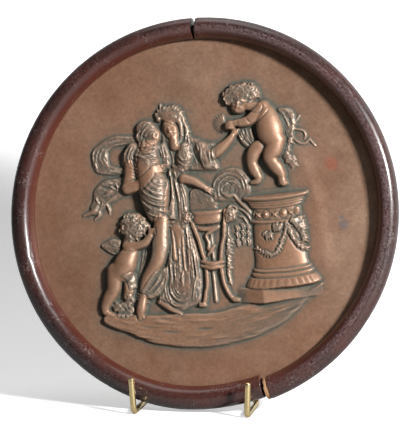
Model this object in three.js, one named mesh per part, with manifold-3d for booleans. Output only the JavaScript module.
// Round copper relief plaque in a turned wood ring, standing on a bent brass wire easel.
// Millimetres, +Z up, the plaque faces -Y.
import * as THREE from 'three';
import Module from 'manifold-3d';

const wasm = await Module();
wasm.setup();
const { Manifold, Mesh: SolidMesh } = wasm;

// ---------- driving dimensions ----------
const ringRadius = 130; // outside of the wood ring
const lipRadius = 115.4; // inner edge of the wood ring
const ringHeight = 17; // crest of the ring above its back
const rebateRadius = 122.4; // step behind the lip that takes the disc
const leanDegrees = 7; // the plaque leans back on its easel
const ringCentreHeight = 129.1; // middle of the plaque above the table
const fieldLevel = 5; // face of the disc's plain field above the ring's back
const discRadius = 119.7;
const boardRadius = 126;
const boardThickness = 4;
const gap = 0.3; // clearance between touching pieces
const rodRadius = 2; // 4 mm brass rod
const ringSteps = 60;
const splitAngle = 93.75; // where the ring has sprung open at the top
const splitWidth = 2.7;
const crackAngle = 291; // where the ring has cracked at the lower right
const bendStart = 250; // the ring is bent inward from here to the crack
const bendDepth = 2.3;
const reliefSides = 6; // sides of every rounded limb
const reliefDepth = 0.8; // share of the stated heights that the relief stands out
const flatten = 0.7; // relief limbs are flatter than round
const viewShift = 0.2; // raised forms are placed this much of their height to the right

const radians = (degrees) => (degrees * Math.PI) / 180;

// ---------- materials ----------
const woodMaterial = new THREE.MeshStandardMaterial({ color: 0x4a2824, roughness: 0.38, metalness: 0 });
const copperMaterial = new THREE.MeshStandardMaterial({ color: 0x8a6750, roughness: 0.45, metalness: 0.7 });
const boardMaterial = new THREE.MeshStandardMaterial({ color: 0x2b201a, roughness: 0.8, metalness: 0 });
const brassMaterial = new THREE.MeshStandardMaterial({ color: 0xd9c078, roughness: 0.25, metalness: 1 });

// ---------- shape helpers ----------
// welded solid from a closed three.js geometry
function solidOf(geometry) {
  const flat = geometry.index ? geometry.toNonIndexed() : geometry;
  const position = flat.getAttribute('position');
  const seen = new Map();
  const vertices = [];
  const ids = [];
  for (let i = 0; i < position.count; i++) {
    const point = [position.getX(i), position.getY(i), position.getZ(i)];
    const key = point.map((value) => Math.round(value * 2000)).join(',');
    if (!seen.has(key)) {
      seen.set(key, vertices.length / 3);
      vertices.push(...point);
    }
    ids.push(seen.get(key));
  }
  const triangles = [];
  for (let i = 0; i < ids.length; i += 3) {
    const [a, b, c] = ids.slice(i, i + 3);
    if (a !== b && b !== c && a !== c) triangles.push(a, b, c);
  }
  const solid = new Manifold(
    new SolidMesh({ numProp: 3, vertProperties: new Float32Array(vertices), triVerts: new Uint32Array(triangles) }),
  );
  return solid;
}

function geometryOf(solid) {
  const mesh = solid.getMesh();
  const geometry = new THREE.BufferGeometry();
  geometry.setAttribute('position', new THREE.BufferAttribute(new Float32Array(mesh.vertProperties), 3));
  geometry.setIndex(new THREE.BufferAttribute(new Uint32Array(mesh.triVerts), 1));
  geometry.computeVertexNormals();
  return geometry;
}

// each vertex of a geometry goes through a function of its own place
function reshape(geometry, move) {
  const position = geometry.getAttribute('position');
  const point = new THREE.Vector3();
  for (let i = 0; i < position.count; i++) {
    point.fromBufferAttribute(position, i);
    move(point);
    position.setXYZ(i, point.x, point.y, point.z);
  }
  return geometry;
}

// rounded limb along a smooth line of [x, y, height, radius] stations
function limb(stations, steps = 0, sides = reliefSides) {
  const places = stations.map(([x, y, z]) => new THREE.Vector3(x + viewShift * z, y, z * reliefDepth));
  const line = new THREE.CatmullRomCurve3(places, false, 'centripetal');
  const rings = steps || stations.length + 1;
  const radiusAt = (t) => {
    const s = t * (stations.length - 1);
    const i = Math.min(stations.length - 2, Math.floor(s));
    return THREE.MathUtils.lerp(stations[i][3], stations[i + 1][3], s - i);
  };
  const geometry = new THREE.SphereGeometry(1, sides, rings + 1);
  const up = new THREE.Vector3(0, 0, 1);
  return solidOf(
    reshape(geometry, (p) => {
      const turn = Math.acos(THREE.MathUtils.clamp(p.y, -1, 1));
      const ring = Math.round((turn / Math.PI) * (rings + 1));
      const t = THREE.MathUtils.clamp((ring - 1) / (rings - 1), 0, 1);
      const pole = ring === 0 || ring === rings + 1;
      const end = ring <= 1 || ring >= rings;
      const across = Math.hypot(p.x, p.z) || 1;
      const [sideShare, upShare] = pole ? [0, 0] : [p.x / across, p.z / across];
      const radius = radiusAt(t) * (end ? 0.78 : 1);
      const tangent = line.getTangent(t);
      const side = new THREE.Vector3().crossVectors(tangent, up).normalize();
      const out = new THREE.Vector3().crossVectors(side, tangent);
      const place = line.getPoint(t);
      const cap = pole ? radiusAt(t) * 0.55 * (ring === 0 ? -1 : 1) : 0;
      p.copy(place)
        .addScaledVector(tangent, cap)
        .addScaledVector(side, sideShare * radius)
        .addScaledVector(out, -upShare * radius * flatten);
    }),
  );
}

// narrow fold or strand, with fewer sides than a limb
function fold(stations, steps = 0) {
  return limb(stations, steps, 5);
}

// flattened ball: middle, half sizes across, along and out, and its turn
function dome([x, y, z], [a, b, c], turn = 0, around = 9) {
  const geometry = new THREE.SphereGeometry(1, around, Math.round(around * 0.6));
  geometry
    .rotateX(Math.PI / 2)
    .scale(a, b, c * reliefDepth)
    .rotateZ(radians(turn))
    .translate(x + viewShift * z, y, z * reliefDepth);
  return solidOf(geometry);
}

// flat mass with its foot in the field, from an outline; its face rises by the slopes to the right and up
function sheet(points, height, { rise = [0, 0], edge = 0 } = {}) {
  const shape = new THREE.Shape(points.map(([x, y]) => new THREE.Vector2(x, y)));
  const foot = -1.4;
  const geometry = new THREE.ExtrudeGeometry(shape, {
    depth: height - foot - edge * 2,
    bevelEnabled: edge > 0,
    bevelThickness: edge,
    bevelSize: edge,
    bevelOffset: -edge,
    bevelSegments: 1,
  });
  const [cx, cy] = points.reduce(([sx, sy], [x, y]) => [sx + x / points.length, sy + y / points.length], [0, 0]);
  return solidOf(
    reshape(geometry.translate(0, 0, foot + edge), (p) => {
      if (p.z > 0) p.z += (p.x - cx) * rise[0] + (p.y - cy) * rise[1];
      p.x += viewShift * Math.max(p.z, 0);
    }),
  );
}

// ---------- relief: ground ----------
function groundForms() {
  const outline = [
    [-64, -67], [-67, -70.5], [-63, -76.5], [-48, -81], [-37, -85.6], [-20, -88.6], [2, -88.6], [22, -85],
    [37, -80], [54, -71], [63, -63], [71, -54], [80, -44], [62, -52], [44, -60], [30, -59], [10, -66], [-10, -66],
    [-35, -68],
  ];
  return [
    sheet(outline, 3.6, { rise: [-0.018, 0.03], edge: 1.2 }),
    fold([[30.5, -68, 2, 1.8], [31.5, -62, 3, 2.2], [34.4, -54, 3.6, 1]]),
    fold([[-52, -67, 2, 3.6], [-49.6, -60, 3, 3.8], [-47.6, -54, 3, 2.4]]),
  ];
}

// ---------- relief: altar ----------
const altar = { foot: [54.4, -45.2], turn: 6.8, depthShare: 0.4, drop: 0.3, segments: 20 };

function altarForms() {
  const profile = [
    [0, 0], [24.5, 0], [24.4, 1.6], [21.6, 5], [19.8, 6.2], [20.4, 7.6], [19, 9.8], [17.4, 14], [17, 30],
    [16.6, 37], [17.8, 38.2], [17.6, 39.6], [16.4, 40.4], [16.4, 49], [18.2, 51], [18.8, 53.4], [21.4, 56],
    [21.4, 59.6], [0, 59.6],
  ].map(([r, y]) => new THREE.Vector2(r, y));
  const lean = (p) => {
    p.z *= altar.depthShare;
    p.y -= altar.drop * p.z;
    p.x += viewShift * Math.max(p.z, 0) * 0.5;
  };
  const place = (geometry) =>
    solidOf(reshape(geometry, lean).rotateZ(radians(altar.turn)).translate(altar.foot[0], altar.foot[1], 0));
  const drum = place(new THREE.LatheGeometry(profile, altar.segments));
  const plinthTop = new THREE.Shape([[-31, -3], [-14, 20], [24.5, -3]].map(([x, z]) => new THREE.Vector2(x, -z)));
  const plinth = place(
    new THREE.ExtrudeGeometry(plinthTop, { depth: 9.4, bevelEnabled: false }).rotateX(Math.PI / -2).translate(0, -9.6, 0),
  );
  return [
    drum,
    plinth,
    fold([[51.5, -7, 7.4, 2], [48, -10, 7, 2.8], [52, -16, 8, 2.4], [49, -24, 8, 2.6], [42, -26, 6.6, 2.4], [35, -23, 3.6, 1.8]]),
    fold([[56, -6, 7.8, 1.8], [60, -10, 7.2, 3.8], [64, -17, 5.8, 3.8], [69.5, -22, 2.6, 1.8]]),
    ...[[42.3, -1, 6.6], [53.4, 1.2, 7.6], [63.2, 3.4, 5.6]].map(([x, y, z]) => dome([x - 1, y, z], [2.8, 2.8, 1.5], 0, 6)),
  ];
}

// ---------- relief: Cupid on the altar ----------
function cupidForms() {
  return [
    dome([22.6, 78, 4.2], [10.6, 8.8, 6.4], 12, 10), // hair
    dome([21, 73, 5], [6.8, 7.4, 5.6], -12), // face
    limb([[26, 70, 4, 4], [33, 68.6, 4, 4.4]]),
    limb([[37, 69.5, 4, 5], [38.8, 64, 4.6, 7.8], [41.4, 57.5, 4.6, 9], [44.6, 50.5, 4.4, 8.6], [45.4, 45, 4, 7.4]], 7),
    limb([[36.6, 69.4, 6.6, 3.8], [31.6, 64, 7.4, 3.5], [28, 60, 7.2, 3.2], [22, 59.2, 6.6, 2.7], [15.4, 57.6, 6, 2.8]], 6),
    limb([[47.6, 47, 5.4, 6.8], [43, 37.6, 6.8, 5.6], [46, 32, 5.6, 4.4], [50.6, 24.6, 3.4, 3]], 6),
    limb([[50.4, 23.4, 3.4, 2.8], [52, 20.6, 3.4, 2.3], [56.4, 20.4, 3.2, 1.8]]),
    limb([[40.6, 46.5, 3, 6.6], [32.4, 39.4, 4, 5], [33.4, 31, 3.2, 4], [36, 24, 2.4, 2.7]], 6),
    limb([[36, 22.6, 2.4, 2.5], [32.6, 20.6, 2.4, 2]]),
    dome([9.8, 59.6, 1.2], [6.2, 6, 4], 0),
    fold([[34, 58, 2, 2.2], [27, 50, 1.4, 2.1], [22, 45.5, 0.6, 1.6]]),
    fold([[34, 54, 2, 2], [31, 47, 1.4, 1.8], [25, 42, 0.6, 1.3]]),
    sheet([[44, 71], [51, 70.4], [56.6, 69], [58.4, 61], [56, 52], [50, 51]], 2.2),
    fold([[62, 65, 0.8, 1.3], [58.6, 60, 1.4, 1.9], [57.6, 54, 1.8, 2.1], [63, 53.6, 1.4, 1.8], [66.6, 51, 0.8, 1.3]]),
    fold([[58, 55, 1.4, 1.7], [60.5, 49, 1.4, 1.8], [66, 48.4, 1.2, 1.7], [72.4, 46, 0.6, 1.2]]),
    fold([[51.6, 45, 2.4, 3.4], [54.6, 37, 2.6, 4.8], [59, 33, 1.6, 2.6]]),
  ];
}

// ---------- relief: woman in front ----------
const skirtFolds = [
  [[-33, -6, 5, 3.6], [-36, -22, 5.4, 3.6], [-38.6, -38, 4.4, 3], [-38, -52, 3, 2.2]],
  [[-24, -6, 5.4, 3.4], [-23.4, -24, 5.4, 3.6], [-26, -44, 5, 3.4], [-27.6, -60, 3.4, 2.6]],
  [[-19, -10, 4.4, 3.4], [-17.6, -28, 4.4, 3.8], [-18, -46, 4.6, 4.4], [-20, -62, 3.2, 3.2]],
  [[-14, -14, 3, 3], [-12.4, -30, 3, 3.2], [-10.4, -46, 3.4, 4.4], [-11.4, -63.6, 2.6, 3.2]],
  [[-12.6, -26, 2, 2.8], [-8, -40, 2.2, 3], [-5, -50, 2.2, 3.2], [-3, -58, 1.6, 2.4]],
];

function frontWomanForms() {
  return [
    dome([-39.6, 53, 3.6], [8.2, 7.8, 6.4], -16, 10), // hair and head
    dome([-35.4, 49.8, 4.6], [5.2, 6.6, 4.8], 16),
    limb([[-38.6, 46.4, 4, 4.4], [-39.4, 41, 4, 5]]),
    limb([[-40, 41, 4, 8.4], [-40.6, 32, 4.8, 10.4], [-38, 21, 4.6, 10.4], [-33, 10, 4.8, 11.4], [-29.6, 0, 4.4, 10.4]], 7),
    dome([-42, 28.4, 7.4], [5.2, 5, 4.6], 0, 7),
    limb([[-47, 40, 3, 5], [-50.4, 32, 3.4, 6], [-50, 24, 3.6, 5.2], [-52.6, 16.6, 4.4, 4.4]], 6),
    limb([[-53, 16, 5, 4.2], [-44, 20.6, 7.6, 3.8], [-35, 26.2, 8.6, 3], [-29.6, 28.6, 8.6, 3.1]], 6),
    limb([[-30, 34, 3, 6], [-22, 28, 3.6, 5.4], [-17, 24.6, 4, 4.4]]),
    limb([[-16, 23.4, 5, 3.4], [-9.6, 20.6, 5.2, 2.8], [-4, 18.6, 5, 2.2], [3.4, 14.4, 4, 1.4]], 5),
    fold([[-23, 22, 2, 5.4], [-18, 8, 2.2, 6], [-17.4, -5, 2.2, 5]]),
    fold([[-44, 12, 7.6, 2], [-36, 3.6, 8.4, 2.2], [-26, -2, 7, 2.4]]),
    limb([[-30, -8, 5.6, 7.4], [-29.4, -20, 7.2, 6.4], [-29.6, -31, 7.6, 5.4], [-34, -44, 6.4, 4.4], [-39.4, -56, 4.4, 3.3]], 7),
    limb([[-39.8, -56, 4.6, 3.1], [-41.6, -62, 5.2, 3.4], [-42, -69.6, 5, 2.2]], 4),
    sheet([[-42, -2], [-46, -30], [-45, -55], [-30, -62], [-14, -66], [-2, -60], [-4, -44], [-12, -16], [-13, 0]], 2.4),
    ...skirtFolds.map((stations) => fold(stations, 5)),
  ];
}

// ---------- relief: billowing veil and scarf ----------
function veilForms() {
  return [
    fold([[-42, 48.4, 2.4, 3], [-55, 46.6, 2.6, 3.8], [-66, 45, 2.6, 4.2], [-72.4, 38.4, 2.8, 4.8], [-70.6, 30.4, 2.8, 4.4],
      [-62, 27.4, 2.4, 3], [-52, 27.6, 2.2, 2.6]], 12),
    fold([[-55, 21, 2, 3], [-64, 15.6, 2.6, 4.8], [-71, 10.6, 2.2, 4], [-75, 2, 1.8, 2.6], [-81.6, -3, 1, 1.4]], 8),
    fold([[-60, 13, 2, 3.2], [-64, 7, 1.8, 2.8], [-64, 0.4, 1, 1.4]]),
  ];
}

// ---------- relief: woman behind ----------
function backWomanForms() {
  return [
    dome([-25, 63, 2.4], [7.8, 7.2, 5.2], 10, 10), // wreathed hair
    dome([-23.4, 54.6, 2.8], [5.4, 8.2, 4.8], 10),
    dome([-25.4, 68.4, 1.2], [5, 3.8, 3.4], 0, 7),
    fold([[-16.6, 62, 1.4, 3], [-13.6, 55, 1.6, 3.2], [-10, 48, 1.8, 3]]),
    fold([[-27, 50, 1.6, 5], [-26, 42, 1.6, 5.6]]),
    limb([[-21, 44, 2.2, 7], [-14, 38.4, 2.8, 8], [-9, 34, 2.4, 6]]),
    limb([[-12, 42.4, 2.4, 7.4], [-3, 40, 3.2, 7.8], [4.4, 38.4, 3.4, 6.8]], 5),
    limb([[4.6, 37.6, 4.2, 4], [9.6, 42.4, 4.6, 3.6], [14.6, 47.4, 4.6, 2.8], [18.4, 52, 4.4, 2.3]], 5),
  ];
}

// ---------- relief: putto ----------
function puttoForms() {
  return [
    dome([-47.6, -9.6, 4.2], [9.2, 9.2, 6.4], 0, 10),
    limb([[-48.6, -19, 3.8, 6.4], [-51, -27, 4.2, 7], [-54.4, -35, 4.4, 7.8], [-57, -41, 4.2, 7.6]], 6),
    limb([[-51.4, -22, 6, 3.6], [-45, -23, 7.2, 3.4], [-38.6, -20.6, 8.2, 3], [-36.4, -14, 8.2, 2.9]], 5),
    limb([[-60, -42, 5, 6.6], [-61.6, -50, 5.2, 5], [-63.4, -58, 4.2, 3.5], [-65.6, -64.4, 3.4, 2.6]], 6),
    fold([[-66.6, -66, 3.6, 2.4], [-63.6, -68.8, 4, 2.4], [-60, -69.6, 3.6, 1.8]]),
    limb([[-53, -42, 3.2, 5.8], [-50.6, -51, 3.2, 4.4], [-52, -60, 2.4, 3.2]]),
    sheet([[-55, -18], [-62, -18.6], [-69, -22.6], [-66.4, -26], [-60, -29.4], [-55, -28]], 2.2),
  ];
}

// ---------- relief: tripod brazier, smoke ----------
function tripodForms() {
  const rings = [-31.8, -36.2].map((y) => fold([[-0.4, y, 3, 1.5], [6.4, y - 0.7, 4.6, 1.9], [13, y - 0.2, 3, 1.5]], 4));
  return [
    fold([[-8, -3.2, 1.4, 3.2], [-2, -3.9, 3.4, 3.8], [5.6, -3.4, 3.4, 3.8], [11.4, -2.2, 1.6, 3.2]], 5),
    fold([[-5.4, -8, 1, 2], [2, -9.4, 2.8, 2.8], [9, -7.6, 1.2, 2]], 4),
    dome([17.4, -1.4, 2.4], [4.8, 5, 4.2], 0, 7),
    dome([-12.4, -3.6, 1.4], [3.2, 3.8, 3.2], 0, 7),
    fold([[16.4, -6, 2.6, 2.4], [14, -16, 2.6, 1.9], [11.8, -34, 2.6, 1.9], [14, -46, 3, 1.9], [19, -54.6, 3.2, 1.9],
      [24.6, -56.6, 3, 2]], 8),
    fold([[-10, -7, 1.8, 2], [-5.4, -14, 2, 1.8], [-0.6, -26, 2.4, 1.8], [2, -40, 2.8, 1.9], [1.4, -57, 3, 1.9],
      [-0.6, -60.6, 3, 2.2]], 8),
    fold([[5, -12, 0.6, 1.5], [6.4, -24, 0.8, 1.5], [7.6, -42, 1, 1.6], [9.4, -57.6, 1.2, 1.8]], 4),
    ...rings,
    fold([[9, -10, 1.4, 1.4], [2.4, -14.4, 1.8, 1.4], [3.8, -22, 1.8, 1.4], [5, -29, 1.6, 1.2]], 4),
    dome([-3, 9.6, 1], [6.6, 7.6, 3.6], 20, 8),
    dome([23.4, -14, 0.6], [5.8, 7.6, 2.8], 10, 8),
  ];
}

function smokeForms() {
  const turns = [195, 145, 95, 45, -5];
  const swirl = [0, 1, 2].map((i) => {
    const radius = 4.6 + 4.4 * i;
    const place = (turn, k) => [
      15.6 + radius * Math.cos(radians(turn)),
      14.6 + (radius + 1.4) * Math.sin(radians(turn)),
      1,
      1.1 + 0.25 * k * (4 - k),
    ];
    return fold(turns.map(place), 6);
  });
  return [...swirl, fold([[20, 11, 0.8, 1.6], [24, 4, 1, 2], [29, 1, 1, 1.8], [33.4, -6, 0.6, 1.2]])];
}

// ---------- copper disc with its relief ----------
function reliefDisc() {
  const forms = [
    ...groundForms(), ...altarForms(), ...cupidForms(), ...frontWomanForms(), ...veilForms(), ...backWomanForms(),
    ...puttoForms(), ...tripodForms(), ...smokeForms(),
  ];
  const figures = Manifold.union(forms).trimByPlane([0, 0, 1], -3).translate([0, 0, fieldLevel]);
  const disc = new THREE.CylinderGeometry(discRadius, discRadius, fieldLevel, ringSteps)
    .rotateX(Math.PI / 2)
    .translate(0, 0, fieldLevel / 2);
  const mesh = new THREE.Mesh(geometryOf(solidOf(disc).add(figures)), copperMaterial);
  mesh.name = 'relief_disc';
  return mesh;
}

// ---------- turned wood ring, sprung open at the top and cracked at the lower right ----------
function ringProfile() {
  const lipDepth = fieldLevel + gap;
  return [
    [rebateRadius, 0], [ringRadius - 1, 0], [ringRadius, 9.5], [129.3, 13], [126.8, 16],
    [122.8, ringHeight], [118.8, 15.4], [116.2, 12.4], [lipRadius, 9.6], [lipRadius + 0.4, lipDepth], [rebateRadius, lipDepth],
  ];
}

function frameRing() {
  const profile = ringProfile().map(([r, w]) => new THREE.Vector2(w, r));
  const halfSplit = (Math.asin(splitWidth / 2 / ringRadius) * 180) / Math.PI;
  const [start, end] = [splitAngle + halfSplit, splitAngle + 360 - halfSplit];
  const stations = [];
  for (let i = 0; i <= ringSteps; i++) stations.push(THREE.MathUtils.lerp(start, end, i / ringSteps));
  const nearCrack = stations.findIndex((angle) => angle > crackAngle - 1);
  stations[nearCrack] = crackAngle;
  stations[nearCrack + 1] = crackAngle + 0.9;
  const inward = (angle) =>
    angle > bendStart && angle <= crackAngle
      ? bendDepth * THREE.MathUtils.smootherstep(angle, bendStart, crackAngle)
      : 0;
  const shape = new THREE.Shape(profile);
  const geometry = new THREE.ExtrudeGeometry(shape, { depth: ringSteps, steps: ringSteps, bevelEnabled: false });
  reshape(geometry, (p) => {
    const angle = stations[Math.round(p.z)];
    const lean = angle === start || angle === end ? 0.14 * (p.y - ringRadius) : 0;
    const radius = p.y - inward(angle);
    const side = radians(angle + 90);
    const w = p.x;
    p.set(
      radius * Math.cos(radians(angle)) - lean * Math.cos(side),
      radius * Math.sin(radians(angle)) - lean * Math.sin(side),
      w,
    );
  });
  const crack = new THREE.CylinderGeometry(1.1, 1.1, 40, 3, 1)
    .rotateX(Math.PI / 2)
    .scale(0.55, 12, 1)
    .translate(0, ringRadius - 6, 26)
    .rotateZ(radians(crackAngle - 90 + 0.45));
  const mesh = new THREE.Mesh(geometryOf(solidOf(geometry).subtract(solidOf(crack))), woodMaterial);
  mesh.name = 'frame_ring';
  return mesh;
}

function backBoard() {
  const geometry = new THREE.CylinderGeometry(boardRadius, boardRadius, boardThickness, 60)
    .rotateX(Math.PI / 2)
    .translate(0, 0, -gap - boardThickness / 2);
  const mesh = new THREE.Mesh(geometry, boardMaterial);
  mesh.name = 'back_board';
  return mesh;
}

// ---------- brass wire easel ----------
const lean = radians(leanDegrees);
const easel = {
  leftX: -39.1,
  rightX: 35.8,
  uprightY: -43, // the front hooks' uprights
  hookTop: { left: 24, right: 22.4 },
  ledgeHeight: rodRadius - 0.2,
  restLine: -gap * 2 - boardThickness - rodRadius, // middle of the back rest behind the ring's back
  restFoot: -125.4, // where the back rest starts, below the plaque's middle
  restTop: 14, // and where it ends above it
  legTop: [22, ringCentreHeight + 7],
  footY: 66,
};

// table coordinates of a place on the plaque, v up its face and w out of it
function onPlaque(v, w) {
  return [v * Math.sin(lean) - w * Math.cos(lean), ringCentreHeight + v * Math.cos(lean) + w * Math.sin(lean)];
}

// a bent rod through [x, y, z] corners, each rounded by its own radius
function bentRod(corners, bendRadii, endRound) {
  const points = corners.map((p) => new THREE.Vector3(...p));
  const route = [points[0]];
  for (let i = 1; i < points.length - 1; i++) {
    const back = points[i - 1].clone().sub(points[i]).normalize();
    const on = points[i + 1].clone().sub(points[i]).normalize();
    const half = back.angleTo(on) / 2;
    const reach = bendRadii[i - 1] / Math.tan(half);
    const bend = new THREE.QuadraticBezierCurve3(
      points[i].clone().addScaledVector(back, reach),
      points[i],
      points[i].clone().addScaledVector(on, reach),
    );
    route.push(...bend.getPoints(4));
  }
  route.push(points[points.length - 1]);
  const direction = (i) =>
    route[Math.min(i + 1, route.length - 1)].clone().sub(route[Math.max(i - 1, 0)]).normalize();
  // a rounded end is one more, smaller ring past the rod's own end
  const widths = route.map(() => rodRadius);
  if (endRound) {
    route.unshift(route[0].clone().addScaledVector(direction(0), -rodRadius * 0.6));
    widths.unshift(rodRadius * 0.55);
  }
  const last = route.length - 1;
  const geometry = new THREE.CylinderGeometry(1, 1, last, 8, last);
  return reshape(geometry, (p) => {
    const i = Math.round(last / 2 - p.y);
    const along = direction(i);
    const side = new THREE.Vector3(1, 0, 0).addScaledVector(along, -along.x).normalize();
    const up = new THREE.Vector3().crossVectors(along, side);
    const [a, b] = [p.x * widths[i], p.z * widths[i]];
    p.copy(route[i]).addScaledVector(side, a).addScaledVector(up, b);
  });
}

function easelSide(name, x, hookTop, tipLean, endRound) {
  const [restY, restZ] = onPlaque(easel.restTop, easel.restLine);
  const [bendY, bendZ] = onPlaque(easel.restFoot, easel.restLine);
  const corners = [
    [x + tipLean, easel.uprightY, hookTop],
    [x, easel.uprightY, easel.ledgeHeight],
    [x, bendY, bendZ],
    [x, restY, restZ],
    [x, easel.legTop[0], easel.legTop[1]],
    [x, easel.footY, rodRadius],
    [x, easel.footY + 9, rodRadius],
  ];
  const mesh = new THREE.Mesh(bentRod(corners, [4.6, 4, 9, 9, 5], endRound), brassMaterial);
  mesh.name = name;
  return mesh;
}

function easelBar(name, y, z) {
  const length = easel.rightX - easel.leftX - 2 * (rodRadius + gap);
  const geometry = new THREE.CylinderGeometry(rodRadius, rodRadius, length, 8)
    .rotateZ(Math.PI / 2)
    .translate((easel.rightX + easel.leftX) / 2, y, z);
  const mesh = new THREE.Mesh(geometry, brassMaterial);
  mesh.name = name;
  return mesh;
}

// ---------- assembly ----------
const group = new THREE.Group();
const plaque = new THREE.Group();
plaque.rotation.x = Math.PI / 2 - lean;
plaque.position.z = ringCentreHeight;
plaque.add(frameRing(), reliefDisc(), backBoard());

const stand = new THREE.Group();
const legShare = 0.86; // how far down the rear legs the lower bar sits
stand.add(
  easelSide('easel_side_left', easel.leftX, easel.hookTop.left, -1.8, false),
  easelSide('easel_side_right', easel.rightX, easel.hookTop.right, 0.4, true),
  easelBar('easel_cross_bar_upper', easel.legTop[0] - 9, easel.legTop[1] + 1),
  easelBar(
    'easel_cross_bar_lower',
    THREE.MathUtils.lerp(easel.legTop[0], easel.footY, legShare),
    THREE.MathUtils.lerp(easel.legTop[1], rodRadius, legShare),
  ),
);

const [frontY, rearY] = [easel.uprightY - rodRadius, easel.footY + 9];
group.add(plaque, stand);
group.children.forEach((child) => (child.position.y -= (frontY + rearY) / 2));

export default group;
